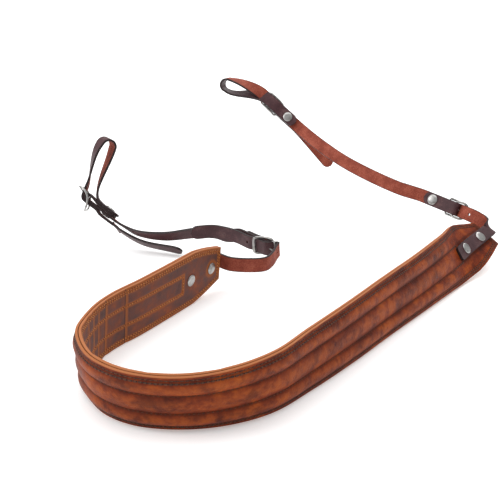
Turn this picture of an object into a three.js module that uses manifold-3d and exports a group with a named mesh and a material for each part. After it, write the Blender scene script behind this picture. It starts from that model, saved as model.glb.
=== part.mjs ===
// A leather neck strap: a wide ribbed pad, a buckled strap at each end of it, and a lug loop at each far end.
// Millimetres, +Z up. The origin is the middle of the left lug loop, where the strap hangs.
import * as THREE from 'three';
import { mergeVertices } from 'three/addons/utils/BufferGeometryUtils.js';
import Module from 'manifold-3d';

const wasm = await Module();
wasm.setup();

// Pad
const PAD_WIDTH = 35.5;
const PAD_END_WIDTH = 22.5;
const TAPER_LENGTH = 30;
const COVER_THICKNESS = 1.5;
const BACKING_THICKNESS = 1.6;
const RIB_HEIGHT = 2.1;
const RIB_MARGIN = 3;
const CHANNEL_ASIDE = 6.1; // Each channel seam from the pad's mid-line
const RIB_END = 46;
const RIB_FADE = 14;
const LOOP_WIDTH = 268;
const LOOP_DEPTH = 233;

// Narrow straps
const STRAP_WIDTH = 9.5;
const STRAP_THICKNESS = 1.6;
const TAB_OVERLAP = 43.5;
const TAB_GAP = 0.4; // Between tab and cover, which twists a little under it
const FLAP_LENGTH = 25;
const HOLE_DIAMETER = 2;
const HOLE_PITCH = 16;

// Buckles
const WIRE_DIAMETER = 1.6;
const FRAME_INNER = 9.5;
const FRAME_OUTER = 7;
const FRAME_BOW = 3;
const FRAME_CORNER = 2.2;
const PRONG_DIAMETER = 1.1;
const BAR_EXTRA = 0.2;

// Rivets
const RIVET_CAP = 7.5;
const RIVET_CAP_HEIGHT = 0.8;
const RIVET_SHAFT = 2.4;
const RIVET_FROM_END = 10.5;
const RIVET_PITCH = 22.5;
const RIVET_FROM_TIP = 7;

// Places
const LUG_HEIGHT = 66.5;
const PAD_ASIDE = 17.9;
const PAD_FORWARD = 271;
const CLEARANCE = 0.3;
const PLACE_UNIT = 100; // The buckles' and lugs' places are shares of this

// The pad's lower edge in plan, from its left end round the bend to its right end: shares of the loop's
// width and depth, and how far the upper edge leans towards the inside of the loop, in degrees.
const PAD_ROUTE = [
  { across: 0.241, back: 0.725, lean: 5 },
  { across: 0.208, back: 0.663, lean: 5 },
  { across: 0.174, back: 0.599, lean: 5 },
  { across: 0.135, back: 0.528, lean: 5 },
  { across: 0.081, back: 0.433, lean: 5 },
  { across: 0.030, back: 0.352, lean: 6 },
  { across: 0.008, back: 0.292, lean: 5 },
  { across: 0.000, back: 0.227, lean: 2 },
  { across: 0.004, back: 0.165, lean: -3 },
  { across: 0.025, back: 0.112, lean: -8 },
  { across: 0.060, back: 0.056, lean: -12 },
  { across: 0.116, back: 0.015, lean: -15 },
  { across: 0.196, back: 0.000, lean: -17 },
  { across: 0.278, back: 0.015, lean: -13 },
  { across: 0.361, back: 0.064, lean: -6 },
  { across: 0.439, back: 0.159, lean: 1 },
  { across: 0.529, back: 0.283, lean: 5 },
  { across: 0.629, back: 0.433, lean: 9 },
  { across: 0.719, back: 0.564, lean: 13 },
  { across: 0.786, back: 0.661, lean: 19 },
  { across: 0.843, back: 0.742, lean: 27 },
  { across: 0.884, back: 0.792, lean: 40, rise: 0.030 },
  { across: 0.918, back: 0.829, lean: 50, rise: 0.063 },
  { across: 0.946, back: 0.859, lean: 57, rise: 0.096 },
  { across: 0.968, back: 0.883, lean: 60, rise: 0.126 },
];

const material = (color, roughness, metalness) => (
  new THREE.MeshStandardMaterial({ color, roughness, metalness })
);
const coverLeather = material(0x7a3c1e, 0.5, 0);
const backingLeather = material(0x6a4a42, 0.8, 0);
const strapLeather = material(0x3a2a28, 0.45, 0);
const nickel = material(0xc8c8cc, 0.25, 1);

const vector = (x, y, z) => new THREE.Vector3(x, y, z);
const placed = (x, y, z) => vector(x, y, z).multiplyScalar(PLACE_UNIT);
const UP = vector(0, 0, 1);
const mix = (a, b, t) => a.clone().lerp(b, t);
const radians = THREE.MathUtils.degToRad;

// Solids

function solidOf(geometry) {
  const bare = geometry.clone();
  bare.deleteAttribute('normal');
  bare.deleteAttribute('uv');
  const merged = mergeVertices(bare, 1e-4);
  return new wasm.Manifold(new wasm.Mesh({
    numProp: 3,
    vertProperties: new Float32Array(merged.attributes.position.array),
    triVerts: new Uint32Array(merged.index.array),
  }));
}

function geometryOf(solid) {
  const mesh = solid.getMesh();
  const geometry = new THREE.BufferGeometry();
  geometry.setAttribute('position', new THREE.BufferAttribute(new Float32Array(mesh.vertProperties), 3));
  geometry.setIndex(new THREE.BufferAttribute(new Uint32Array(mesh.triVerts), 1));
  return geometry;
}

// A closed skin through a row of rings, each ring a closed outline with the same number of points.
function skin(rings, closed = false) {
  const count = rings[0].length;
  const positions = rings.flat().flatMap((point) => point.toArray());
  const index = [];
  const last = closed ? rings.length : rings.length - 1;
  for (let i = 0; i < last; i++) {
    const near = i * count;
    const far = ((i + 1) % rings.length) * count;
    for (let k = 0; k < count; k++) {
      const next = (k + 1) % count;
      index.push(near + k, near + next, far + next, near + k, far + next, far + k);
    }
  }
  if (!closed) {
    const flat = (ring) => {
      const across = ring[1].clone().sub(ring[0]).normalize();
      const normal = new THREE.Vector3();
      ring.forEach((point, k) => normal.add(point.clone().cross(ring[(k + 1) % count])));
      const aside = normal.normalize().cross(across);
      return ring.map((point) => new THREE.Vector2(point.dot(across), point.dot(aside)));
    };
    const end = (rings.length - 1) * count;
    for (const [a, b, c] of THREE.ShapeUtils.triangulateShape(flat(rings[0]), [])) {
      index.push(a, c, b);
    }
    for (const [a, b, c] of THREE.ShapeUtils.triangulateShape(flat(rings.at(-1)), [])) {
      index.push(end + a, end + b, end + c);
    }
  }
  const geometry = new THREE.BufferGeometry();
  geometry.setAttribute('position', new THREE.Float32BufferAttribute(positions, 3));
  geometry.setIndex(index);
  return geometry;
}

// Straps: a strap is a row of stations, each with a place, its width's direction and a share of that width.

const station = (place, width, share = 1) => ({ place, width, share });

function framed(stations, closed = false) {
  const count = stations.length;
  return stations.map((one, i) => {
    const before = stations[closed ? (i + count - 1) % count : Math.max(0, i - 1)].place;
    const after = stations[closed ? (i + 1) % count : Math.min(count - 1, i + 1)].place;
    const along = after.clone().sub(before).normalize();
    const width = one.width.clone().addScaledVector(along, -one.width.dot(along)).normalize();
    return { ...one, width, out: along.clone().cross(width) };
  });
}

function ribbon(stations) {
  const half = STRAP_THICKNESS / 2;
  return skin(framed(stations).map(({ place, width, out, share }) => {
    const reach = STRAP_WIDTH / 2 * share;
    return [[reach, -half], [-reach, -half], [-reach, half], [reach, half]].map(([across, depth]) => (
      place.clone().addScaledVector(width, across).addScaledVector(out, depth)
    ));
  }));
}

// A round tip past the last station, on its own line.
function roundTip(stations) {
  const { place, width } = stations.at(-1);
  const along = place.clone().sub(stations.at(-2).place).normalize();
  const radius = STRAP_WIDTH / 2;
  const steps = [30, 55, 75];
  return steps.map((degrees) => station(
    place.clone().addScaledVector(along, radius * Math.sin(radians(degrees))),
    width,
    Math.cos(radians(degrees)),
  ));
}

const withTips = (stations) => {
  const start = roundTip(stations.slice(0, 2).reverse()).reverse();
  return [...start, ...stations, ...roundTip(stations)];
};

// A free stretch between two rows of stations, through points given as shares of the straight line between
// them: along it, to its left, and above it.
function span(from, to, rows, steps) {
  const start = from.at(-1);
  const end = to[0];
  const line = end.place.clone().sub(start.place);
  const length = line.length();
  const aside = UP.clone().cross(line).normalize();
  const inner = rows.map(({ along, left, above }) => (
    start.place.clone().addScaledVector(line, along)
      .addScaledVector(aside, left * length)
      .addScaledVector(UP, above * length)
  ));
  const route = new THREE.CatmullRomCurve3(
    [from.at(-2).place, start.place, ...inner, end.place, to[1].place],
    false,
    'centripetal',
  );
  const widths = [start.width, ...rows.map((row) => row.width ?? null), end.width];
  const inputs = [0, ...rows.map((row) => row.along), 1];
  const knownWidth = (share) => {
    let low = 0;
    let high = inputs.length - 1;
    inputs.forEach((input, i) => {
      if (widths[i] && input <= share) low = i;
    });
    for (let i = inputs.length - 1; i > low; i--) {
      if (widths[i]) high = i;
    }
    const ease = high > low ? (share - inputs[low]) / (inputs[high] - inputs[low]) : 0;
    return mix(widths[low], widths[high], ease).normalize();
  };
  const pieces = route.points.length - 1;
  const first = 1 / pieces;
  const last = 1 - 1 / pieces;
  const result = [];
  for (let i = 1; i < steps; i++) {
    const place = route.getPoint(first + (last - first) * i / steps);
    const share = THREE.MathUtils.clamp(place.clone().sub(start.place).dot(line) / length ** 2, 0, 1);
    result.push(station(place, knownWidth(share)));
  }
  return result;
}

// A smooth bend from the end of one row of stations to the start of another, leaving and arriving in line.
function bend(from, to, reach, steps) {
  const start = from.at(-1);
  const end = to[0];
  const leaving = start.place.clone().sub(from.at(-2).place).normalize();
  const arriving = to[1].place.clone().sub(end.place).normalize();
  const route = new THREE.CubicBezierCurve3(
    start.place,
    start.place.clone().addScaledVector(leaving, reach[0]),
    end.place.clone().addScaledVector(arriving, -reach[1]),
    end.place,
  );
  return route.getPoints(steps).slice(1, -1).map((place, i) => (
    station(place, mix(start.width, end.width, (i + 1) / steps).normalize())
  ));
}

// A free bend through points given from its start as shares of its reach.
function bendThrough(from, to, rows, reach, steps) {
  const start = from.at(-1);
  const end = to[0];
  const inner = rows.map(({ right, back, above }) => (
    start.place.clone().add(vector(right, back, above).multiplyScalar(reach))
  ));
  const route = new THREE.CatmullRomCurve3(
    [from.at(-2).place, start.place, ...inner, end.place, to[1].place],
    false,
    'centripetal',
  );
  const pieces = route.points.length - 1;
  const result = [];
  for (let i = 1; i < steps; i++) {
    const place = route.getPoint((1 + (pieces - 2) * i / steps) / pieces);
    result.push(station(place, mix(start.width, end.width, i / steps).normalize()));
  }
  return result;
}

// Pad

const padCorner = vector(PAD_ASIDE, -PAD_FORWARD, -LUG_HEIGHT);
const edgeThickness = COVER_THICKNESS + BACKING_THICKNESS + CLEARANCE;
const padCurve = new THREE.CatmullRomCurve3(
  PAD_ROUTE.map(({ across, back, rise = 0 }) => (
    padCorner.clone().add(vector(across * LOOP_WIDTH, back * LOOP_DEPTH, rise * LUG_HEIGHT))
  )),
  false,
  'centripetal',
);
padCurve.arcLengthDivisions = 800;
const PAD_LENGTH = padCurve.getLength();

function padMiddle(distance) {
  const at = THREE.MathUtils.clamp(distance / PAD_LENGTH, 0, 1);
  const along = padCurve.getTangentAt(at);
  const share = padCurve.getUtoTmapping(at) * (PAD_ROUTE.length - 1);
  const row = Math.min(Math.floor(share), PAD_ROUTE.length - 2);
  const lean = radians(THREE.MathUtils.lerp(PAD_ROUTE[row].lean, PAD_ROUTE[row + 1].lean, share - row));
  const inward = UP.clone().cross(along).normalize();
  const width = UP.clone().multiplyScalar(Math.cos(lean)).addScaledVector(inward, Math.sin(lean));
  const place = padCurve.getPointAt(at)
    .addScaledVector(UP, edgeThickness / 2 * Math.abs(Math.sin(lean)))
    .addScaledVector(width, PAD_WIDTH / 2);
  return { distance, place, width };
}

function padStation(distance) {
  const here = padMiddle(distance);
  const step = 2;
  const before = padMiddle(Math.max(0, distance - step));
  const after = padMiddle(Math.min(PAD_LENGTH, distance + step));
  const along = after.place.sub(before.place).normalize();
  return { ...here, along, out: along.clone().cross(here.width).normalize() };
}

const fromEnd = (distance) => Math.min(distance, PAD_LENGTH - distance);
// The ends taper with rounded shoulders.
const padHalf = (distance) => {
  const share = Math.min(1, fromEnd(distance) / TAPER_LENGTH);
  return THREE.MathUtils.lerp(PAD_END_WIDTH, PAD_WIDTH, (share + Math.sin(share * Math.PI / 2)) / 2) / 2;
};
const ribShare = (distance) => (
  THREE.MathUtils.smoothstep(fromEnd(distance), RIB_END, RIB_END + RIB_FADE)
);

const padDistances = [];
const PAD_STEPS = 46;
for (let i = 0; i <= PAD_STEPS; i++) {
  padDistances.push(PAD_LENGTH * i / PAD_STEPS);
}
for (const edge of [TAPER_LENGTH / 2, TAPER_LENGTH, RIB_END, RIB_END + RIB_FADE / 2, RIB_END + RIB_FADE]) {
  padDistances.push(edge, PAD_LENGTH - edge);
}
padDistances.sort((a, b) => a - b);
const padStations = padDistances
  .filter((distance, i) => i === 0 || distance - padDistances[i - 1] > 1)
  .map(padStation);

// The ribs lie between the seams: the two channels, and a margin inside each long edge.
const ribEdges = [PAD_WIDTH / 2 - RIB_MARGIN, CHANNEL_ASIDE, -CHANNEL_ASIDE, RIB_MARGIN - PAD_WIDTH / 2];
// Half of a rib's section: share of its width, and height over its foot as a share of its crest.
const RIB_SHOULDER = 0.16;
const RIB_SHOULDER_HEIGHT = 0.72;

// The outline of one pad layer at a station: an inner and an outer depth, with three ribs on the outer face.
function padOutline({ distance, place, width, out }, innerDepth, outerDepth, ribHeight) {
  const half = padHalf(distance);
  const narrowing = half / (PAD_WIDTH / 2);
  const crest = ribHeight * ribShare(distance);
  const point = (across, depth) => (
    place.clone().addScaledVector(width, across).addScaledVector(out, depth)
  );
  const onOuter = (across, rise) => point(across * narrowing, outerDepth + rise * crest);
  const outer = [point(half, outerDepth)];
  for (let rib = 0; rib < ribEdges.length - 1; rib++) {
    const at = (share) => THREE.MathUtils.lerp(ribEdges[rib], ribEdges[rib + 1], share);
    outer.push(
      onOuter(at(0), 0),
      onOuter(at(RIB_SHOULDER), RIB_SHOULDER_HEIGHT),
      onOuter(at(0.5), 1),
      onOuter(at(1 - RIB_SHOULDER), RIB_SHOULDER_HEIGHT),
    );
  }
  outer.push(onOuter(ribEdges.at(-1), 0), point(-half, outerDepth));
  return [...outer, point(-half, innerDepth), point(half, innerDepth)];
}

function backingOutline({ distance, place, width, out }) {
  const half = padHalf(distance);
  const near = -CLEARANCE / 2;
  const far = near - BACKING_THICKNESS;
  return [[-half, near], [half, near], [half, far], [-half, far]].map(([across, depth]) => (
    place.clone().addScaledVector(width, across).addScaledVector(out, depth)
  ));
}

const coverFace = CLEARANCE / 2 + COVER_THICKNESS;
const backingFace = CLEARANCE / 2 + BACKING_THICKNESS;

// Rivets and holes

function lathe(profile, place, axis, sides) {
  const geometry = new THREE.LatheGeometry(profile.map(([r, h]) => new THREE.Vector2(r, h)), sides);
  geometry.applyQuaternion(new THREE.Quaternion().setFromUnitVectors(vector(0, 1, 0), axis));
  return geometry.translate(place.x, place.y, place.z);
}

const rod = (from, to, radius, sides = 6) => {
  const axis = to.clone().sub(from);
  return lathe(
    [[0, 0], [radius, 0], [radius, axis.length()], [0, axis.length()]],
    from,
    axis.normalize(),
    sides,
  );
};

// Two domed caps on a shaft. low and high are the depths of the leather faces that the caps clamp.
function rivet(place, axis, low, high) {
  const cap = RIVET_CAP / 2;
  const shaft = RIVET_SHAFT / 2;
  const dome = [[1, 0], [1, 0.35], [0.7, 0.9], [0, 1]];
  const top = high + CLEARANCE;
  const bottom = low - CLEARANCE;
  const upper = dome.map(([r, h]) => [r * cap, top + h * RIVET_CAP_HEIGHT]);
  const lower = dome.map(([r, h]) => [r * cap, bottom - h * RIVET_CAP_HEIGHT]).reverse();
  return lathe([...lower, [shaft, bottom], [shaft, top], ...upper], place, axis, 12);
}

const drill = (place, axis, radius) => rod(
  place.clone().addScaledVector(axis, -RIVET_CAP),
  place.clone().addScaledVector(axis, RIVET_CAP),
  radius,
);

// Buckle holes at distances along a strap, measured from its station nearest to a place.
function punches(stations, from, distances) {
  const path = framed(stations);
  const gaps = path.map(({ place }) => place.distanceTo(from));
  const start = gaps.indexOf(Math.min(...gaps));
  return distances.map((distance) => {
    const step = Math.sign(distance);
    let left = Math.abs(distance);
    let i = start;
    while (left > path[i].place.distanceTo(path[i + step].place)) {
      left -= path[i].place.distanceTo(path[i + step].place);
      i += step;
    }
    const share = left / path[i].place.distanceTo(path[i + step].place);
    return drill(
      mix(path[i].place, path[i + step].place, share),
      mix(path[i].out, path[i + step].out, share).normalize(),
      HOLE_DIAMETER / 2,
    );
  });
}

const cutBy = (geometry, cutters) => geometryOf(
  cutters.reduce((solid, cutter) => solid.subtract(solidOf(outward(cutter))), solidOf(outward(geometry))),
);

// Buckle seats. The folded strap end lies along the seat's body direction, its grain side towards
// grain, and the bar of the buckle is the seat's origin. Lengths go along the body, heights towards grain.
const foldRadius = WIRE_DIAMETER / 2 + CLEARANCE + STRAP_THICKNESS / 2;
const layer = STRAP_THICKNESS + CLEARANCE;
const tailRadius = foldRadius + layer;
const barRoom = WIRE_DIAMETER / 2 + CLEARANCE + STRAP_THICKNESS / 2;
const capRoom = RIVET_CAP_HEIGHT + 2 * CLEARANCE;
const rivetPlace = FLAP_LENGTH - RIVET_FROM_TIP;
const seatLength = FLAP_LENGTH + 3;
const leastTilt = Math.asin((tailRadius + barRoom + BAR_EXTRA) / Math.hypot(FRAME_INNER, FRAME_BOW))
  - Math.atan2(FRAME_BOW, FRAME_INNER);

function seat({ place, body, width, side, tilt = 0 }) {
  const along = body.clone().normalize();
  const across = width.clone().addScaledVector(along, -width.dot(along)).normalize();
  const grain = across.clone().cross(along).multiplyScalar(side);
  const at = (length, height, aside = 0) => (
    place.clone().addScaledVector(along, length).addScaledVector(grain, height).addScaledVector(across, aside)
  );
  const angle = leastTilt + radians(tilt);
  const frameAt = (length, height, aside = 0) => at(
    -length * Math.cos(angle) - height * Math.sin(angle),
    -length * Math.sin(angle) + height * Math.cos(angle),
    aside,
  );
  const toBar = frameAt(FRAME_OUTER, FRAME_BOW).sub(place);
  const exit = Math.asin((tailRadius + barRoom + BAR_EXTRA) / toBar.length())
    - Math.atan2(toBar.dot(grain), -toBar.dot(along));
  return { place, along, across, grain, at, frameAt, exit, side };
}

const line = (place, rows) => rows.map(([length, height]) => station(place.at(length, height), place.across));

// The folded end of a connector, from the flap's tip round the bar and out along the body.
function foldedEnd(place) {
  const tipStart = FLAP_LENGTH - STRAP_WIDTH / 2;
  const flap = line(place, [
    [tipStart, 0],
    [12, 0],
    [9, -0.12 * foldRadius],
    [6, -0.5 * foldRadius],
    [3, -0.88 * foldRadius],
  ]);
  const fold = [];
  for (let degrees = -90; degrees <= 90; degrees += 22.5) {
    fold.push(station(
      place.at(-foldRadius * Math.cos(radians(degrees)), foldRadius * Math.sin(radians(degrees))),
      place.across,
    ));
  }
  const body = line(place, [[4, foldRadius], [rivetPlace, foldRadius], [seatLength, foldRadius]]);
  return [...flap, ...fold, ...body];
}

// The strap that passes through the buckle, from its tail along the body, over the bar and out.
function throughBuckle(place) {
  const over = foldRadius + STRAP_THICKNESS / 2 + capRoom + STRAP_THICKNESS / 2;
  const tail = line(place, [
    [seatLength, over],
    [rivetPlace - RIVET_CAP / 2, over],
    [FRAME_INNER + WIRE_DIAMETER, tailRadius],
    [FRAME_INNER / 2, tailRadius],
  ]);
  const arc = [];
  const steps = 5;
  for (let i = 0; i <= steps; i++) {
    const angle = place.exit * i / steps;
    arc.push(station(place.at(-tailRadius * Math.sin(angle), tailRadius * Math.cos(angle)), place.across));
  }
  const outward = place.along.clone().multiplyScalar(-Math.cos(place.exit))
    .addScaledVector(place.grain, -Math.sin(place.exit));
  const out = [0.55, 1].map((share) => station(
    arc.at(-1).place.clone().addScaledVector(outward, share * FRAME_OUTER),
    place.across,
  ));
  return [...tail, ...arc, ...out];
}

// A loose tail past the stretch that lies on the folded end, turned about its own line towards its tip.
function tailFrom(place, buckle, rows, length, turn) {
  const points = rows.map(({ along, grain, across }) => (
    place.at(along * length, grain * length, across * length)
  ));
  const route = new THREE.CatmullRomCurve3(
    [buckle.at(-2).place, buckle.at(-1).place, ...points],
    false,
    'centripetal',
  );
  const steps = 5 * points.length;
  const first = 1 / (points.length + 1);
  const result = [];
  for (let i = 1; i <= steps; i++) {
    const width = place.across.clone().applyAxisAngle(place.along, radians(turn) * i / steps);
    result.push(station(route.getPoint(first + (1 - first) * i / steps), width));
  }
  return result;
}

// The round lug loop, in the plane across its width direction.
function lugArc(place, width, radius, leave, arrive) {
  const across = width.clone().normalize();
  const towards = leave.clone().add(arrive).multiplyScalar(-0.5);
  const top = towards.addScaledVector(across, -towards.dot(across)).normalize();
  const aside = across.clone().cross(top);
  const turn = Math.sign(aside.dot(arrive.clone().sub(leave)));
  const result = [];
  for (let degrees = -90; degrees <= 90; degrees += 22.5) {
    result.push(station(
      place.clone()
        .addScaledVector(aside, turn * radius * Math.sin(radians(degrees)))
        .addScaledVector(top, radius * Math.cos(radians(degrees))),
      across,
    ));
  }
  return result;
}

// Buckle pieces

function buckleFrame(place) {
  const half = STRAP_WIDTH / 2 + CLEARANCE + WIRE_DIAMETER / 2;
  const outline = [];
  const side = [-1, -0.5, 0, 0.5, 1];
  const corner = (length, aside) => (
    vector(length, aside, FRAME_BOW * (length / (length > 0 ? FRAME_OUTER : FRAME_INNER)) ** 2)
  );
  const innerEnd = -FRAME_INNER + FRAME_CORNER;
  const outerEnd = FRAME_OUTER - FRAME_CORNER;
  for (const turn of [1, -1]) {
    for (const share of side) {
      const length = THREE.MathUtils.lerp(innerEnd, outerEnd, (share * turn + 1) / 2);
      outline.push(corner(length, half * turn));
    }
    const end = turn > 0 ? outerEnd : innerEnd;
    const tip = turn > 0 ? FRAME_OUTER : -FRAME_INNER;
    const cornerLength = end + turn * FRAME_CORNER * Math.SQRT1_2;
    const cornerAside = half - FRAME_CORNER * (1 - Math.SQRT1_2);
    outline.push(corner(cornerLength, turn * cornerAside));
    outline.push(corner(tip, turn * (half - FRAME_CORNER)));
    outline.push(corner(tip, -turn * (half - FRAME_CORNER)));
    outline.push(corner(cornerLength, -turn * cornerAside));
  }
  const centre = outline.reduce((sum, point) => sum.add(point), vector(0, 0, 0)).divideScalar(outline.length);
  const middle = place.frameAt(centre.x, centre.z, centre.y);
  const loop = outline.map((point) => {
    const at = place.frameAt(point.x, point.z, point.y);
    return station(at, at.clone().sub(middle));
  });
  const sides = 6;
  const rings = framed(loop, true).map(({ place: at, width, out }) => {
    const ring = [];
    for (let k = 0; k < sides; k++) {
      const angle = -2 * Math.PI * k / sides;
      ring.push(at.clone()
        .addScaledVector(width, WIRE_DIAMETER / 2 * Math.cos(angle))
        .addScaledVector(out, WIRE_DIAMETER / 2 * Math.sin(angle)));
    }
    return ring;
  });
  const bar = rod(place.at(0, 0, -half), place.at(0, 0, half), WIRE_DIAMETER / 2);
  return geometryOf(solidOf(outward(skin(rings, true))).add(solidOf(outward(bar))));
}

const prongRadius = PRONG_DIAMETER / 2;
const prongRing = WIRE_DIAMETER / 2 + CLEARANCE + prongRadius;
const prongPath = (place) => ({
  root: place.frameAt(0, prongRing),
  tip: place.frameAt(
    FRAME_OUTER + WIRE_DIAMETER,
    prongRing + (FRAME_BOW + 0.15 * prongRing) * (FRAME_OUTER + WIRE_DIAMETER) / FRAME_OUTER,
  ),
});

function prong(place) {
  const sides = 6;
  const ring = [];
  for (let degrees = 0; degrees < 360; degrees += 36) {
    const angle = radians(degrees);
    const radial = place.frameAt(Math.cos(angle), Math.sin(angle)).sub(place.place);
    ring.push(Array.from({ length: sides }, (_, k) => {
      const turn = 2 * Math.PI * k / sides;
      return place.place.clone()
        .addScaledVector(radial, prongRing + prongRadius * Math.cos(turn))
        .addScaledVector(place.across, prongRadius * Math.sin(turn) * place.side);
    }));
  }
  const { root, tip } = prongPath(place);
  const pin = rod(root, tip, prongRadius, sides);
  return geometryOf(solidOf(outward(skin(ring, true))).add(solidOf(outward(pin))));
}

// Turns a skin that came out inside out.
function outward(geometry) {
  const { position } = geometry.attributes;
  const { array } = geometry.index;
  const [a, b, c] = [vector(0, 0, 0), vector(0, 0, 0), vector(0, 0, 0)];
  let volume = 0;
  for (let i = 0; i < array.length; i += 3) {
    a.fromBufferAttribute(position, array[i]);
    b.fromBufferAttribute(position, array[i + 1]);
    c.fromBufferAttribute(position, array[i + 2]);
    volume += a.dot(b.cross(c));
  }
  if (volume < 0) {
    for (let i = 0; i < array.length; i += 3) {
      [array[i], array[i + 1]] = [array[i + 1], array[i]];
    }
  }
  return geometry;
}

const seatSlot = (place) => {
  const width = PRONG_DIAMETER + 2 * CLEARANCE;
  const box = new THREE.BoxGeometry(foldRadius * 2 + 3, foldRadius * 2 + STRAP_THICKNESS + 1, width);
  box.translate(-foldRadius / 2 + 0.5, 0, 0);
  const aside = place.along.clone().cross(place.grain);
  const basis = new THREE.Matrix4().makeBasis(place.along, place.grain, aside);
  return box.applyMatrix4(basis).translate(...place.place.toArray());
};

const prongHole = (place) => {
  const { root, tip } = prongPath(place);
  return rod(root, tip, prongRadius + CLEARANCE);
};

// Assembly

const strap = new THREE.Group();
const add = (name, geometry, finish) => {
  const mesh = new THREE.Mesh(outward(geometry), finish);
  mesh.name = name;
  strap.add(mesh);
};

const leftEnd = padStation(0);
const rightEnd = padStation(PAD_LENGTH);

// Each side: where its pad end and its two buckles are, its lug, how its connector runs between the buckles,
// and how the two loose tails run from their buckles, as shares of the tail's length along the body, towards
// the grain and along the width.
const SIDES = {
  left: {
    end: leftEnd,
    inward: 1,
    padSeat: seat({
      place: leftEnd.place.clone().add(placed(0.33, 0.27, 0.005)),
      body: vector(-0.62, 0.785, 0),
      width: vector(0, -0.1, 1),
      side: 1,
    }),
    lugSeat: seat({
      place: placed(-0.123, -0.16, -0.333),
      body: vector(0.79, -0.226, -0.567),
      width: vector(0.15, -0.95, 0.26),
      side: -1,
      tilt: 27,
    }),
    lug: vector(0, 0, 0),
    lugWidth: vector(0.55, -0.83, 0),
    lugRadius: 5.5,
    lugRise: 7,
    lugReach: [9, 14],
    tabReach: 43,
    tabBend: [
      { right: 0.2, back: -0.12, above: -0.02 },
      { right: 0.5, back: -0.15, above: -0.03 },
      { right: 0.73, back: -0.1, above: -0.03 },
      { right: 0.84, back: 0.08, above: -0.02 },
      { right: 0.9, back: 0.3, above: -0.01 },
    ],
    connector: [
      { along: 0.13, left: -0.04, above: -0.03 },
      { along: 0.22, left: -0.05, above: -0.02 },
      { along: 0.36, left: -0.003, above: -0.020, width: vector(0, -0.45, 0.9) },
      { along: 0.56, left: 0.095, above: -0.032, width: vector(0, -0.6, 0.8) },
      { along: 0.77, left: 0.113, above: -0.024 },
    ],
    tabTailLength: 57,
    tabTail: [
      { along: 0.74, grain: 0.245, across: 0.04 },
      { along: 0.84, grain: 0.42, across: 0.05 },
    ],
    lugTailLength: 80,
    lugTailTurn: -22,
    lugTail: [
      { along: 0.398, grain: 0.063, across: 0.071 },
      { along: 0.642, grain: 0.025, across: 0.139 },
      { along: 0.935, grain: -0.113, across: 0.239 },
    ],
  },
  right: {
    end: rightEnd,
    inward: -1,
    padSeat: seat({
      place: rightEnd.place.clone().add(placed(-0.16, 0.28, 0.088)),
      body: vector(-0.78, 0.6, 0.17),
      width: vector(0.37, 0.23, 0.9),
      side: -1,
    }),
    lugSeat: seat({
      place: placed(1.225, 1.02, 0.085),
      body: vector(0.73, -0.35, -0.59),
      width: vector(0.68, 0.27, 0.68),
      side: 1,
    }),
    lug: placed(0.865, 1.08, 0.225),
    lugWidth: vector(0.35, 0.9, -0.1),
    lugRadius: 4.8,
    lugRise: -4,
    lugReach: [14, 12],
    tabReach: 16,
    tabBend: [
      { right: 0.0, back: 0.25, above: 0.05 },
      { right: -0.2, back: 0.55, above: 0.17 },
      { right: -0.5, back: 0.8, above: 0.3 },
    ],
    connector: [
      { along: 0.12, left: 0.052, above: 0 },
      { along: 0.49, left: 0.060, above: -0.019 },
      { along: 0.76, left: 0.035, above: -0.016 },
    ],
    tabTailLength: 50,
    tabTail: [
      { along: 0.9, grain: 0.13, across: -0.02 },
    ],
    lugTailLength: 70,
    lugTailTurn: 0,
    lugTail: [
      { along: 0.93, grain: 0.175, across: -0.05 },
    ],
  },
};

const coverCuts = [];
const backingCuts = [];

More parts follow.
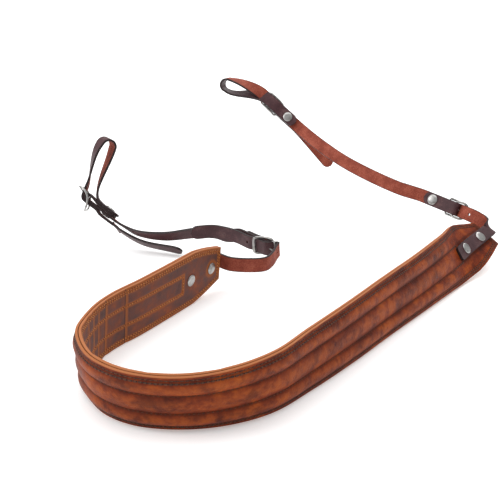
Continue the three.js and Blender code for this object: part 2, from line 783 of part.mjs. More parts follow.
for (const [name, side] of Object.entries(SIDES)) {
  const { end, inward, padSeat, lugSeat } = side;

  // Pad tab: riveted on the pad's outer face, bent round to the buckle, through it and along the connector.
  const tabDepth = coverFace + TAB_GAP + STRAP_THICKNESS / 2;
  const onPad = [];
  const tabSteps = 6;
  for (let i = 0; i <= tabSteps; i++) {
    const inPad = THREE.MathUtils.lerp(TAB_OVERLAP - STRAP_WIDTH / 2, 0, i / tabSteps);
    const at = padStation(inward > 0 ? inPad : PAD_LENGTH - inPad);
    onPad.push(station(at.place.clone().addScaledVector(at.out, tabDepth), at.width));
  }
  const leaving = end.along.clone().multiplyScalar(-inward);
  onPad.push(station(onPad.at(-1).place.clone().addScaledVector(leaving, 3), end.width));
  const tabBuckle = throughBuckle(padSeat).reverse();
  const tabTail = tailFrom(padSeat, tabBuckle, side.tabTail, side.tabTailLength, 0);
  const tabTurn = bendThrough(onPad, tabBuckle, side.tabBend, side.tabReach, 16);
  const tab = withTips([...onPad, ...tabTurn, ...tabBuckle, ...tabTail]);

  // Rivets that hold the tab on the pad.
  const padRivets = [RIVET_FROM_END, RIVET_FROM_END + RIVET_PITCH].map((distance) => (
    padStation(inward > 0 ? distance : PAD_LENGTH - distance)
  ));
  const drills = padRivets.map(({ place, out }) => drill(place, out, RIVET_SHAFT / 2 + CLEARANCE));
  coverCuts.push(...drills);
  backingCuts.push(...drills);
  padRivets.forEach(({ place, out }, i) => {
    const high = coverFace + TAB_GAP + STRAP_THICKNESS;
    add(`${name}_pad_rivet_${i + 1}`, rivet(place, out, -backingFace, high), nickel);
  });
  const tabHoles = punches(tab, padSeat.at(0, tailRadius), [-HOLE_PITCH, HOLE_PITCH]);
  add(`${name}_pad_tab`, cutBy(ribbon(tab), [...drills, prongHole(padSeat), ...tabHoles]), strapLeather);

  // Connector: a strap folded round a buckle bar at each end, each fold closed by a rivet.
  const nearEnd = foldedEnd(padSeat);
  const farEnd = foldedEnd(lugSeat).reverse();
  const connector = withTips([...nearEnd, ...span(nearEnd, farEnd, side.connector, 26), ...farEnd]);
  const seatRivets = [padSeat, lugSeat].map((place) => place.at(rivetPlace, 0));
  const seatDrills = [padSeat, lugSeat].map((place, i) => (
    drill(seatRivets[i], place.grain, RIVET_SHAFT / 2 + CLEARANCE)
  ));
  add(
    `${name}_connector_strap`,
    cutBy(ribbon(connector), [seatDrills[0], seatDrills[1], seatSlot(padSeat), seatSlot(lugSeat)]),
    strapLeather,
  );
  const top = foldRadius + STRAP_THICKNESS / 2;
  add(`${name}_pad_buckle_rivet`, rivet(seatRivets[0], padSeat.grain, -STRAP_THICKNESS / 2, top), nickel);
  add(
    `${name}_lug_buckle_rivet`,
    rivet(seatRivets[1], lugSeat.grain, -layer - STRAP_THICKNESS / 2, top),
    nickel,
  );

  // Lug strap: riveted on the connector's end, up to the lug, round it, down through the buckle, loose tail.
  const riveted = line(lugSeat, [
    [FLAP_LENGTH - STRAP_WIDTH / 2 + 1, -layer],
    [rivetPlace, -layer],
    [0.72 * rivetPlace, -layer],
    [9, -layer - 0.2 * (tailRadius - layer)],
    [5, -layer - 0.75 * (tailRadius - layer)],
    [1, -tailRadius],
    [-2, -tailRadius],
  ].filter(([length]) => length > side.lugRise));
  const lugBuckle = throughBuckle(lugSeat).reverse();
  const loop = lugArc(
    side.lug,
    side.lugWidth,
    side.lugRadius,
    lugSeat.at(0, -tailRadius).sub(side.lug).normalize(),
    lugBuckle[0].place.clone().sub(side.lug).normalize(),
  );
  const lugTail = tailFrom(lugSeat, lugBuckle, side.lugTail, side.lugTailLength, side.lugTailTurn);
  const lugStrap = withTips([
    ...riveted,
    ...bend(riveted, loop, side.lugReach, 10),
    ...loop,
    ...bend(loop, lugBuckle, [10, 8], 8),
    ...lugBuckle,
    ...lugTail,
  ]);
  const lugHoles = punches(lugStrap, lugSeat.at(0, tailRadius), [2 * HOLE_PITCH]);
  const lugCuts = [seatDrills[1], prongHole(lugSeat), ...lugHoles];
  add(`${name}_lug_strap`, cutBy(ribbon(lugStrap), lugCuts), strapLeather);

  for (const [place, part] of [[padSeat, 'pad'], [lugSeat, 'lug']]) {
    add(`${name}_${part}_buckle_frame`, buckleFrame(place), nickel);
    add(`${name}_${part}_buckle_prong`, prong(place), nickel);
  }
}

const cover = skin(padStations.map((at) => padOutline(at, CLEARANCE / 2, coverFace, RIB_HEIGHT)));
add('pad_cover', cutBy(outward(cover), coverCuts), coverLeather);
const backing = skin(padStations.map(backingOutline));
add('pad_backing', cutBy(outward(backing), backingCuts), backingLeather);

export default strap;
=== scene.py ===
import bisect
import math

import bmesh
import bpy
from mathutils import Matrix, Vector


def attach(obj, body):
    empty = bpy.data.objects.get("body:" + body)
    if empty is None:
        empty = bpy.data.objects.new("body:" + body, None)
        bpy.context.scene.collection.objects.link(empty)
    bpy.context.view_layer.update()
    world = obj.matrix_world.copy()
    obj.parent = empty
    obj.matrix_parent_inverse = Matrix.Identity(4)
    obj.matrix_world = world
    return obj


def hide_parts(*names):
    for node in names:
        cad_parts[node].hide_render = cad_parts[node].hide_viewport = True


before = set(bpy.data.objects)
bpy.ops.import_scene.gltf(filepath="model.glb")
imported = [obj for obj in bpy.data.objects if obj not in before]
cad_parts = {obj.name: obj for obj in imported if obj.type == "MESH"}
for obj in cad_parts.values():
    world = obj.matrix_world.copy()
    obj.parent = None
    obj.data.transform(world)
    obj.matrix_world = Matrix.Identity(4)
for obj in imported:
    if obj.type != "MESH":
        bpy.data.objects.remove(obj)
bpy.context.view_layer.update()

# Pad cover
# The outer leather of the wide pad: waxed brown pull-up hide, pressed over padding into three long ribs,
# sewn down along the channels between them and round its edge. Lengths are in millimetres, as in the part.
METRES = 0.001
UP = Vector((0, 0, 1))
CRISP_ANGLE = math.radians(35)
RIM_ANGLE = math.radians(60)
PAD_WIDTH = 35.5
PAD_END_WIDTH = 22.5
PAD_TAPER = 30
COVER_THICKNESS = 1.5
LINING_THICKNESS = 1.6
LAYER_GAP = 0.3
RIB_HEIGHT = 2.1
RIB_MARGIN = 3
RIB_END = 46
RIB_FADE = 14
LOOP_WIDTH = 268
LOOP_DEPTH = 233
LUG_HEIGHT = 66.5
PAD_CORNER = Vector((17.9, -271, -LUG_HEIGHT))

# The pad's lower edge: shares of the loop's width and depth, the lean of the pad in degrees, and the height
# of the edge over the floor as a share of the lug's.
PAD_ROUTE = (
    (0.241, 0.725, 5, 0), (0.208, 0.663, 5, 0), (0.174, 0.599, 5, 0), (0.135, 0.528, 5, 0),
    (0.081, 0.433, 5, 0), (0.030, 0.352, 6, 0), (0.008, 0.292, 5, 0), (0.000, 0.227, 2, 0),
    (0.004, 0.165, -3, 0), (0.025, 0.112, -8, 0), (0.060, 0.056, -12, 0), (0.116, 0.015, -15, 0),
    (0.196, 0.000, -17, 0), (0.278, 0.015, -13, 0), (0.361, 0.064, -6, 0), (0.439, 0.159, 1, 0),
    (0.529, 0.283, 5, 0), (0.629, 0.433, 9, 0), (0.719, 0.564, 13, 0), (0.786, 0.661, 19, 0),
    (0.843, 0.742, 27, 0), (0.884, 0.792, 40, 0.030), (0.918, 0.829, 50, 0.063), (0.946, 0.859, 57, 0.096),
    (0.968, 0.883, 60, 0.126),
)


def spline(points, steps):
    """Places on a smooth line through the points, with that many steps from each point to the next."""
    points = [2 * points[0] - points[1], *points, 2 * points[-1] - points[-2]]
    line = []
    for before, start, end, after in zip(points, points[1:], points[2:], points[3:]):
        gaps = [max((b - a).length, 1e-6) ** 0.5 for a, b in ((before, start), (start, end), (end, after))]
        leave = (start - before) / gaps[0] - (end - before) / (gaps[0] + gaps[1]) + (end - start) / gaps[1]
        reach = (end - start) / gaps[1] - (after - start) / (gaps[1] + gaps[2]) + (after - end) / gaps[2]
        leave, reach = leave * gaps[1], reach * gaps[1]
        for step in range(steps):
            t = step / steps
            line.append(
                start + leave * t + (3 * (end - start) - 2 * leave - reach) * t**2
                + (2 * (start - end) + leave + reach) * t**3
            )
    return [*line, points[-2]]


class Route:
    """The line that a strap lies along: its places, the way its width points, and its length at each."""

    def __init__(self, places, widths, lengths=None):
        self.places = places
        self.widths = widths
        if lengths is None:
            lengths = [0]
            for a, b in zip(places, places[1:]):
                lengths.append(lengths[-1] + (b - a).length)
        self.lengths = lengths
        self.length = lengths[-1]

    def at(self, length):
        """The place, the way on, the way across and the way out at a length along the line."""
        i = min(max(bisect.bisect_right(self.lengths, length) - 1, 0), len(self.lengths) - 2)
        share = (length - self.lengths[i]) / (self.lengths[i + 1] - self.lengths[i])
        place = self.places[i].lerp(self.places[i + 1], share)
        ways = [
            (self.places[min(k + 1, len(self.places) - 1)] - self.places[max(k - 1, 0)]).normalized()
            for k in (i, i + 1)
        ]
        along = ways[0].lerp(ways[1], min(max(share, 0), 1)).normalized()
        width = self.widths[i].lerp(self.widths[i + 1], min(max(share, 0), 1))
        width = (width - along * width.dot(along)).normalized()
        return place, along, width, along.cross(width)


def pad_route():
    """The pad's middle line, from its lower edge and its lean. Lengths are those of the lower edge."""
    corners = [
        PAD_CORNER + Vector((across * LOOP_WIDTH, back * LOOP_DEPTH, rise * LUG_HEIGHT))
        for across, back, _, rise in PAD_ROUTE
    ]
    steps = 24
    edge = spline(corners, steps)
    leans = []
    for (*_, lean, _), (*_, next_lean, _) in zip(PAD_ROUTE, PAD_ROUTE[1:]):
        leans += [lean + (next_lean - lean) * step / steps for step in range(steps)]
    leans.append(PAD_ROUTE[-1][2])
    reach = 12
    smooth = [
        sum(leans[max(0, i - reach):i + reach + 1]) / len(leans[max(0, i - reach):i + reach + 1])
        for i in range(len(leans))
    ]
    thickness = COVER_THICKNESS + LINING_THICKNESS + LAYER_GAP
    places, widths, lengths = [], [], [0]
    for i, (place, lean) in enumerate(zip(edge, smooth)):
        along = (edge[min(i + 1, len(edge) - 1)] - edge[max(i - 1, 0)]).normalized()
        lean = math.radians(lean)
        width = UP * math.cos(lean) + UP.cross(along) * math.sin(lean)
        places.append(place + UP * (thickness / 2 * abs(math.sin(lean))) + width * (PAD_WIDTH / 2))
        widths.append(width)
        if i:
            lengths.append(lengths[-1] + (place - edge[i - 1]).length)
    return Route(places, widths, lengths)


pad = pad_route()


def from_end(length):
    return max(0, min(length, pad.length - length))


def pad_half(length):
    """Half the pad's width, less towards its ends."""
    share = min(1, from_end(length) / PAD_TAPER)
    eased = (share + math.sin(share * math.pi / 2)) / 2
    return (PAD_END_WIDTH + (PAD_WIDTH - PAD_END_WIDTH) * eased) / 2


def rib_share(length):
    """How far the ribs are up: all in the middle, nothing towards the pad's ends."""
    share = min(max((from_end(length) - RIB_END) / RIB_FADE, 0), 1)
    return share * share * (3 - 2 * share)


def lay(bm, route, turn=1):
    """Lays a blank that was made flat (along, across, height) on its route."""
    for vert in bm.verts:
        place, _, width, out = route.at(vert.co.x)
        vert.co = (place + width * vert.co.y * turn + out * vert.co.z * turn) * METRES


def soften(bm):
    """Smooth faces, with a crisp line where they meet at a sharp angle."""
    for face in bm.faces:
        face.smooth = True
    for edge in bm.edges:
        if len(edge.link_faces) == 2 and edge.calc_face_angle(0) > CRISP_ANGLE:
            edge.smooth = False


def keep(bm, name, finish, node=None):
    """Makes the object, puts it on the body and lets it stand for its CAD node."""
    mesh = bpy.data.meshes.new(name)
    soften(bm)
    bm.to_mesh(mesh)
    bm.free()
    mesh.materials.append(finish)
    piece = bpy.data.objects.new(name, mesh)
    bpy.context.scene.collection.objects.link(piece)
    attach(piece, "root")
    if node:
        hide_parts(node)
    return piece


def colour(code):
    """A hex colour as the light it stands for."""
    parts = [int(code[i:i + 2], 16) / 255 for i in (1, 3, 5)]
    return (*((part / 12.92 if part < 0.04 else ((part + 0.055) / 1.055) ** 2.4) for part in parts), 1)


class Field:
    """A number, colour or vector over a surface. Python's operators add the Math nodes."""

    def __init__(self, tree, output):
        self.tree = tree
        self.output = output

    def add(self, kind, settings, inputs, output=0):
        node = self.tree.nodes.new(kind)
        for name, value in settings.items():
            if name == "stops":
                node.color_ramp.elements.remove(node.color_ramp.elements[1])
                node.color_ramp.elements[0].position, node.color_ramp.elements[0].color = value[0]
                for position, shade in value[1:]:
                    node.color_ramp.elements.new(position).color = shade
            else:
                setattr(node, name, value)
        for name, value in inputs.items():
            if isinstance(value, Field):
                self.tree.links.new(value.output, node.inputs[name])
            else:
                node.inputs[name].default_value = value
        return Field(self.tree, node.outputs[output])

    def maths(self, operation, *values):
        return self.add("ShaderNodeMath", {"operation": operation}, dict(enumerate(values)))

    def __add__(self, other):
        return self.maths("ADD", self, other)

    __radd__ = __add__

    def __sub__(self, other):
        return self.maths("SUBTRACT", self, other)

    def __rsub__(self, other):
        return self.maths("SUBTRACT", other, self)

    def __mul__(self, other):
        return self.maths("MULTIPLY", self, other)

    __rmul__ = __mul__

    def __pow__(self, other):
        return self.maths("POWER", self, other)

    def __abs__(self):
        return self.maths("ABSOLUTE", self)

    def most(self, other):
        return self.maths("MAXIMUM", self, other)

    def least(self, other):
        return self.maths("MINIMUM", self, other)

    def rise(self, low, high):
        """0 below low, 1 above high, and smooth between them."""
        inputs = {0: self, "From Min": low, "From Max": high, "To Min": 0.0, "To Max": 1.0}
        return self.add("ShaderNodeMapRange", {"interpolation_type": "SMOOTHSTEP"}, inputs)

    def fall(self, low, high):
        return 1 - self.rise(low, high)

    def blend(self, factor, first, second):
        return self.add("ShaderNodeMix", {"data_type": "RGBA"}, {0: factor, 6: first, 7: second}, 2)

    def part(self, axis):
        """One direction of this vector: 0 along, 1 across, 2 up."""
        return self.add("ShaderNodeSeparateXYZ", {}, {0: self}, axis)

    def stored(self, name):
        """A number that the mesh stores at its points."""
        return self.add("ShaderNodeAttribute", {"attribute_name": name}, {}, "Fac")

    def cells(self, scale):
        """The rounded cells of a hide's grain."""
        return self.add("ShaderNodeTexVoronoi", {"feature": "SMOOTH_F1"}, {"Vector": self, "Scale": scale})

    def ramp(self, *stops):
        """Colours blended by this number, each given with its place and code."""
        stops = [(position, colour(code)) for position, code in stops]
        return self.add("ShaderNodeValToRGB", {"stops": stops}, {0: self})

    def bump(self, strength, distance):
        """This height as a small relief, in metres."""
        inputs = {"Strength": strength, "Distance": distance, "Height": self}
        return self.add("ShaderNodeBump", {}, inputs)

    def noise(self, scale, detail=4.0, roughness=0.55):
        """Cloudy noise on this vector."""
        inputs = {"Vector": self, "Scale": scale, "Detail": detail, "Roughness": roughness}
        return self.add("ShaderNodeTexNoise", {}, inputs)

    def stretched(self, x, y, z):
        """This vector with each direction scaled."""
        return self.add("ShaderNodeVectorMath", {"operation": "MULTIPLY"}, {0: self, 1: (x, y, z)})


def finish_of(name, place="flat"):
    """A new material: its shader, and the vector that its patterns are laid by."""
    material = bpy.data.materials.new(name)
    material.use_nodes = True
    tree = material.node_tree
    shader = tree.nodes["Principled BSDF"]
    if place == "flat":
        node = tree.nodes.new("ShaderNodeAttribute")
        node.attribute_name = "flat"
        return material, shader, Field(tree, node.outputs["Vector"])
    node = tree.nodes.new("ShaderNodeTexCoord")
    return material, shader, Field(tree, node.outputs["Object"])


def drive(shader, **values):
    """Links or sets the shader's sockets, named with underscores for spaces."""
    for name, value in values.items():
        socket = shader.inputs[name.replace("_", " ")]
        if isinstance(value, Field):
            value.tree.links.new(value.output, socket)
        else:
            socket.default_value = value


COVER_FACE = LAYER_GAP / 2 + COVER_THICKNESS
LINING_FACE = LAYER_GAP / 2 + LINING_THICKNESS
CHANNEL = 6.1
PAD_RIM = 0.35
PAD_STEP = 1.6

# The ribs meet in the channels. Their edges are shares of the pad's half width.
RIB_OUTER = PAD_WIDTH / 2 - RIB_MARGIN
RIB_EDGES = [edge / (PAD_WIDTH / 2) for edge in (-RIB_OUTER, -CHANNEL, CHANNEL, RIB_OUTER)]


def pull_up_leather():
    material, shader, flat = finish_of("pull_up_leather")
    border = flat.stored("border")
    height = flat.part(2)
    across = flat.part(1)
    clouds = flat.noise(0.05, 3.0)
    patches = flat.noise(0.13, 6.0, 0.65)
    fibres = flat.stretched(0.35, 1.6, 1).noise(0.6, 5.0, 0.7)
    mottle = clouds * 0.5 + patches * 0.75 + fibres * 0.12 - 0.185
    base = mottle.ramp((0.30, "#47180c"), (0.43, "#62240f"), (0.54, "#7a3112"), (0.68, "#9a4817"))
    # The lighter colour on the rib crests is a painted highlight.
    crest_highlight = height.rise(2.6, 4.0) * 0.55
    highlighted = base.blend(crest_highlight * patches.rise(0.3, 0.62), base, colour("#9c4e20"))
    # Darker along the channels between the ribs and in a band along the edge seams.
    channel = abs(abs(across) - CHANNEL).fall(0.2, 1.3) * 0.7
    seam = border.rise(1.0, 1.7) * border.fall(3.6, 5.0)
    seam_darkening = channel.most(seam * 0.3) * (0.4 + patches * 0.6)
    darkened = highlighted.blend(seam_darkening, highlighted, colour("#34140b"))
    scuff = flat.noise(0.3, 6.0, 0.75).rise(0.66, 0.76) * fibres.rise(0.4, 0.6)
    worn = darkened.blend(scuff * 0.5, darkened, colour("#a5602c"))
    burnt = flat.noise(0.09, 5.0, 0.6).rise(0.52, 0.68) * 0.55
    dark = worn.blend(burnt, worn, colour("#42170b"))
    rim = border.fall(0.12, 0.34)
    edged = dark.blend(rim * 0.9, dark, colour("#a9683f"))
    grain = flat.cells(1.3)
    pores = flat.noise(2.2, 3.0)
    creases = flat.stretched(1.4, 0.5, 1).noise(0.3, 5.0, 0.6)
    relief = grain * 0.45 + pores * 0.35 + creases * 0.6 + patches * 0.6
    bump = relief.bump(0.55, 0.0006)
    rough = 0.46 + patches * 0.22 - crest_highlight * 0.12 + seam_darkening * 0.12
    drive(shader, Base_Color=edged, Roughness=rough, Normal=bump, Specular_IOR_Level=0.14)
    return material


def pad_blank(rows, height_at):
    """A flat grid as wide as the pad at each length, lying on the face that height_at gives."""
    bm = bmesh.new()
    bmesh.ops.create_grid(
        bm, x_segments=round(pad.length / PAD_STEP), y_segments=rows, size=0.5,
        matrix=Matrix.Diagonal((pad.length, 2, 1, 1)),
    )
    for vert in bm.verts:
        length = vert.co.x + pad.length / 2
        vert.co = Vector((length, vert.co.y * pad_half(length), height_at(length, vert.co.y)))
    return bm


def wall_to(bm, height, rounding):
    """Extrudes a flat grid down or up to a level face, closed with rounded rims."""
    made = bmesh.ops.extrude_face_region(bm, geom=bm.faces[:])
    for vert in (item for item in made["geom"] if isinstance(item, bmesh.types.BMVert)):
        vert.co.z = height
    bmesh.ops.recalc_face_normals(bm, faces=bm.faces[:])
    rims = [edge for edge in bm.edges if edge.calc_face_angle(0) > RIM_ANGLE]
    bmesh.ops.bevel(
        bm, geom=rims, offset=rounding, segments=3, profile=0.5, affect="EDGES", material=-1,
        clamp_overlap=True,
    )


def mark(bm, half_at, length):
    """Stores where each point is on the flat blank, and how far it is from the border."""
    flat = bm.verts.layers.float_vector.new("flat")
    border = bm.verts.layers.float.new("border")
    for vert in bm.verts:
        vert[flat] = vert.co
        ends = min(vert.co.x, length - vert.co.x)
        vert[border] = max(0, min(half_at(vert.co.x) - abs(vert.co.y), ends))


def rib_height(length, across):
    """The height of the ribs over the pad's outer face, across being -1 to 1 over its width."""
    rib = bisect.bisect(RIB_EDGES, across)
    if not 0 < rib < len(RIB_EDGES):
        return 0
    share = (across - RIB_EDGES[rib - 1]) / (RIB_EDGES[rib] - RIB_EDGES[rib - 1])
    wave = 1 + 0.03 * math.sin(length * 0.31 + rib * 2) + 0.02 * math.sin(length * 0.83)
    return RIB_HEIGHT * math.sin(math.pi * share) ** 0.6 * wave * rib_share(length)


cover = pad_blank(42, lambda length, across: COVER_FACE + rib_height(length, across))
wall_to(cover, LAYER_GAP / 2, PAD_RIM)
mark(cover, pad_half, pad.length)
lay(cover, pad)
pad_cover = keep(cover, "pad_cover_leather", pull_up_leather(), "pad_cover")

# Pad lining
# The flat inner leather against the neck: vegetable tanned hide, greyed by use and rubbed to orange along
# its seams, sewn to the cover through both layers. It creases across where the pad bends.
CHANNEL_END = 41
RIVET_FROM_END = 10.5
CREASE_SHADE_OFFSET = 1.4
SEAM_PULL = 0.4
SEAM_REACH = 1.8

# Each crease: how far along the pad it is, its reach and its depth.
CREASES = (
    (93, 1.8, 0.35), (112, 2.2, 0.4), (121, 1.6, 0.3), (128, 2.0, 0.4), (136, 1.8, 0.35), (149, 2.4, 0.3),
    (176, 2.4, 0.3), (206, 2.0, 0.3), (236, 3.0, 0.25),
)


def lining_leather():
    material, shader, flat = finish_of("lining_leather")
    border = flat.stored("border")
    across = flat.part(1)
    along = flat.part(0)
    clouds = flat.noise(0.05, 4.0)
    patches = flat.noise(0.2, 5.0, 0.65)
    mottle = clouds * 0.6 + patches * 0.45
    base = mottle.ramp((0.30, "#40241e"), (0.46, "#583832"), (0.60, "#6e3c2c"), (0.74, "#8a4827"))
    sewn = along.rise(CHANNEL_END - 1.6, CHANNEL_END - 0.8) * along.fall(
        pad.length - CHANNEL_END + 0.8, pad.length - CHANNEL_END + 1.6
    )
    seam = abs(abs(across) - CHANNEL).fall(0.9, 2.0) * sewn
    cross = abs(abs(along - pad.length / 2) - (pad.length / 2 - CHANNEL_END))
    cross = cross.fall(0.9, 2.0) * abs(across).fall(CHANNEL, CHANNEL + 1.5)
    edge = border.fall(3.4, 5.0)
    rubbed = seam.most(cross).most(edge) * (0.55 + patches * 0.7)
    ring = (along - RIVET_FROM_END) ** 2 + across * across
    rubbed = rubbed.most(ring.fall(20.0, 48.0) * 0.9)
    orange = base.blend(rubbed.least(0.92), base, colour("#94501f"))
    creased_and_shaded = orange
    for place, reach, _ in CREASES:
        ridge = abs(along - place).fall(0.3, reach) * 0.75
        creased_and_shaded = creased_and_shaded.blend(ridge, creased_and_shaded, colour("#9c551f"))
        # Just past each crease a thin dark line is painted shade in the fold.
        fold = abs(along - (place + CREASE_SHADE_OFFSET)).fall(0.1, 0.8) * 0.8
        creased_and_shaded = creased_and_shaded.blend(fold, creased_and_shaded, colour("#2c140d"))
    rim = border.fall(0.12, 0.4)
    edged = creased_and_shaded.blend(rim * 0.9, creased_and_shaded, colour("#a9683f"))
    grain = flat.cells(1.6)
    nap = flat.noise(2.6, 4.0)
    bump = (grain * 0.4 + nap * 0.4 + patches).bump(0.45, 0.0005)
    rough = 0.55 + patches * 0.25
    drive(shader, Base_Color=edged, Roughness=rough, Normal=bump, Specular_IOR_Level=0.25)
    return material


def lining_height(length, across):
    """The height of the lining's face, drawn in along the channels and the creases."""
    pull = sum(
        max(0, 1 - (abs(across - line) * PAD_WIDTH / 2 / SEAM_REACH) ** 2) for line in RIB_EDGES[1:3]
    )
    crease = sum(depth * math.exp(-((length - place) / reach) ** 2) for place, reach, depth in CREASES)
    return -LINING_FACE + SEAM_PULL * pull * rib_share(length) + crease


lining = pad_blank(30, lining_height)
wall_to(lining, -LAYER_GAP / 2, PAD_RIM)
mark(lining, pad_half, pad.length)
lay(lining, pad)
keep(lining, "pad_lining_leather", lining_leather(), "pad_backing")

# Pad stitching
# Waxed thread through cover and lining: a row in each channel, closed by a short row across at each end,
# and two rows round the whole edge. The outer thread is dark brown, the lining's is tan.
STITCH_PITCH = 2.1
THREAD = 0.8
ROW_GAP = 0.002
EDGE_SEAMS = (1.9, 3.4)


def thread(name, shade, rubbed):
    material, shader, place = finish_of(name, "object")
    wear = place.noise(900.0, 3.0)
    twist = place.add("ShaderNodeTexWave", {}, {"Vector": place, "Scale": 1500.0, "Distortion": 3.0})
    hump = place.stored("hump")
    tint = place.blend(wear.rise(0.35, 0.7), colour(shade), colour(rubbed))
    # Where the thread dips into its holes it is painted near-black: painted shade in the stitch holes.
    tint = place.blend(hump.rise(0.6, 0.9), colour("#170a06"), tint)
    bump = twist.bump(0.5, 0.0002)
    drive(shader, Base_Color=tint, Roughness=0.55 + wear * 0.2, Normal=bump, Specular_IOR_Level=0.4)
    return material


def seam_lines():
    """The flat lines that the pad is sewn along: two channels, their cross rows and two round the edge."""
    lines = []
    for across in (-CHANNEL, CHANNEL):
        lines.append([Vector((CHANNEL_END, across)), Vector((pad.length - CHANNEL_END, across))])
    for length in (CHANNEL_END, pad.length - CHANNEL_END):
        lines.append([Vector((length, -CHANNEL)), Vector((length, CHANNEL))])
    steps = 160
    for inset in EDGE_SEAMS:
        edge = []
        for turn in (1, -1):
            for step in range(steps + 1):
                share = step / steps if turn > 0 else 1 - step / steps
                length = inset + share * (pad.length - 2 * inset)
                edge.append(Vector((length, turn * (pad_half(length) - inset))))
        lines.append([*edge, edge[0].lerp(edge[-1], ROW_GAP)])
    return lines


def sew(lines, height_at, side, name, finish):
    """Threads along flat lines on the face that height_at gives, dipping into it between the stitches."""
    bm = bmesh.new()
    humps = bm.verts.layers.float.new("hump")
    rings, around = 6, 6
    for line in lines:
        lengths = [0]
        for a, b in zip(line, line[1:]):
            lengths.append(lengths[-1] + (b - a).length)
        count = round(lengths[-1] / STITCH_PITCH)
        made = bmesh.ops.create_grid(bm, x_segments=count * rings, y_segments=around, size=0.5)["verts"]
        for vert in made:
            middle = (vert.co.x + 0.5) * lengths[-1]
            k = min(bisect.bisect_right(lengths, middle) - 1, len(line) - 2)
            way = (line[k + 1] - line[k]).normalized()
            place = line[k] + way * (middle - lengths[k])
            hump = abs(math.sin(math.pi * (vert.co.x + 0.5) * count)) ** 0.5
            turn = vert.co.y * math.tau
            radius = THREAD / 2 * (0.55 + 0.45 * hump)
            place += Vector((-way.y, way.x)) * radius * math.sin(turn)
            depth = THREAD * 0.3 * (1 - hump)
            vert[humps] = hump
            rise = (radius * math.cos(turn) - depth) * side
            vert.co = Vector((place.x, place.y, height_at(place.x, place.y) + rise))
        bmesh.ops.remove_doubles(bm, verts=made, dist=0.001)
    bmesh.ops.holes_fill(bm, edges=[edge for edge in bm.edges if edge.is_boundary], sides=around)
    bm.normal_update()
    bmesh.ops.recalc_face_normals(bm, faces=bm.faces[:])
    lay(bm, pad)
    keep(bm, name, finish)


seams = seam_lines()
sew(
    seams, lambda length, y: COVER_FACE + rib_height(length, y / pad_half(length)), 1,
    "cover_stitches", thread("dark_thread", "#3a1a0e", "#6a3a1e"),
)
sew(
    seams, lambda length, y: lining_height(length, y / pad_half(length)), -1,
    "lining_stitches", thread("tan_thread", "#9c5322", "#cc8444"),
)

# Narrow straps
# Six straps of dark bridle leather, 9.5 mm wide: at each end of the pad a tab, a connector and a lug strap.
# The grain side is nearly black, the flesh side is red-brown, and the cut edges are painted.
STRAP_WIDTH = 9.5
STRAP_THICKNESS = 1.6
TAB_OVERLAP = 43.5
TAB_GAP = 0.4
FLAP_LENGTH = 25
HOLE_DIAMETER = 2
HOLE_PITCH = 16
WIRE = 1.6
FRAME_INNER = 9.5
FRAME_OUTER = 7
FRAME_BOW = 3
BAR_EXTRA = 0.2
STRAP_RIM = 0.32
STRAP_STEP = 0.6
TAB_CORNER = 1.8
CAP_DIAMETER = 7.5
CAP_HEIGHT = 0.8
RIVET_FROM_TIP = 7
FOLD = WIRE / 2 + LAYER_GAP + STRAP_THICKNESS / 2
LAYER = STRAP_THICKNESS + LAYER_GAP
OVER_FOLD = FOLD + LAYER
SEAT_LENGTH = FLAP_LENGTH + 3
SEAT_RIVET = FLAP_LENGTH - RIVET_FROM_TIP
HALF_TURN = [math.radians(-90 + 22.5 * i) for i in range(9)]


